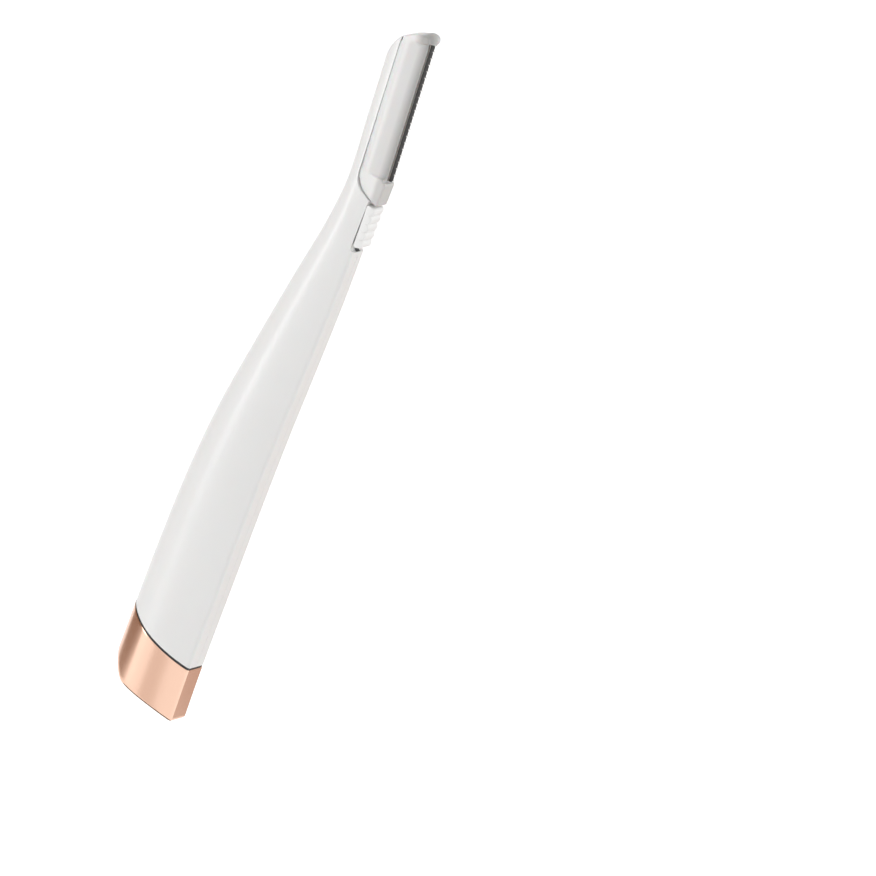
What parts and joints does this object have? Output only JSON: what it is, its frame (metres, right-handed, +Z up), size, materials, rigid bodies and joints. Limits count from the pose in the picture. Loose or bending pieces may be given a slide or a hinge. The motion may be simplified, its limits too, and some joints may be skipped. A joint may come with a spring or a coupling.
{
  "type": "facial hair remover",
  "caption": "Slim battery-lit facial hair remover: tapered white wand, slanted rose gold end cap, ribbed thumb slider, slide-off frosted cartridge with a guarded blade.",
  "frame": {"origin": "in the grip, 45 mm above the lowest corner of the end cap, on the wand's middle plane", "axes": "+Z up along the handle to the head, +X from the cutting edge side to the rounded spine, +Y to the plain side, so the blade clamp faces -Y"},
  "size_m": [0.0201, 0.014, 0.1546],
  "materials": {
    "white_plastic": "satin white moulding",
    "rose_gold": "bright rose gold plating on moulded plastic",
    "inner_plastic": "plain moulding",
    "nickel": "nickel plated strip",
    "spring_steel": "drawn wire",
    "frosted_clear": "frosted translucent moulding",
    "blade_steel": "ground steel",
    "guard_steel": "bright bent wire",
    "board_green": "solder mask",
    "black_plastic": "moulded black",
    "ceramic": "fired ceramic",
    "clear_lens": "clear polished",
    "cell_jacket": "printed sleeve, no marking"
  },
  "bodies": {
    "handle": {"shell_side_a": "white_plastic", "shell_side_b": "white_plastic", "chassis": "inner_plastic", "circuit_board": "board_green", "driver_chip": "black_plastic", "capacitor": "ceramic", "inductor": "black_plastic", "led": "clear_lens", "light_window": "clear_lens", "positive_contact": "nickel", "negative_strip": "nickel", "slide_switch": "black_plastic"},
    "end_cap": {"end_cap_shell": "rose_gold", "cap_insert": "inner_plastic", "cap_contact": "nickel", "cap_spring": "spring_steel"},
    "battery": {"battery_cell": "cell_jacket", "battery_terminal": "nickel"},
    "slider": {"thumb_slider": "white_plastic", "switch_knob": "black_plastic"},
    "cartridge": {"cartridge_frame": "frosted_clear", "blade": "blade_steel", "blade_clamp": "frosted_clear", "edge_guard": "guard_steel", "stake_lower": "frosted_clear", "stake_upper": "frosted_clear", "stake_pin": "frosted_clear"}
  },
  "joints": [
    {"name": "cap_pull", "type": "slide", "parent": "handle", "child": "end_cap", "axis": [0, 0, -1], "range_m": [0, 0.034]},
    {"name": "battery_slide", "type": "slide", "parent": "handle", "child": "battery", "axis": [0, 0, -1], "range_m": [0, 0.0272]},
    {"name": "thumb_slide", "type": "slide", "parent": "handle", "child": "slider", "axis": [0, 0, -1], "range_m": [0, 0.001]},
    {"name": "cartridge_slide", "type": "slide", "parent": "handle", "child": "cartridge", "axis": [0.0558, 0, 0.9984], "range_m": [0, 0.03]}
  ],
  "couplings": [
    {"joint": "battery_slide", "follows": "cap_pull", "ratio": 0.8}
  ]
}
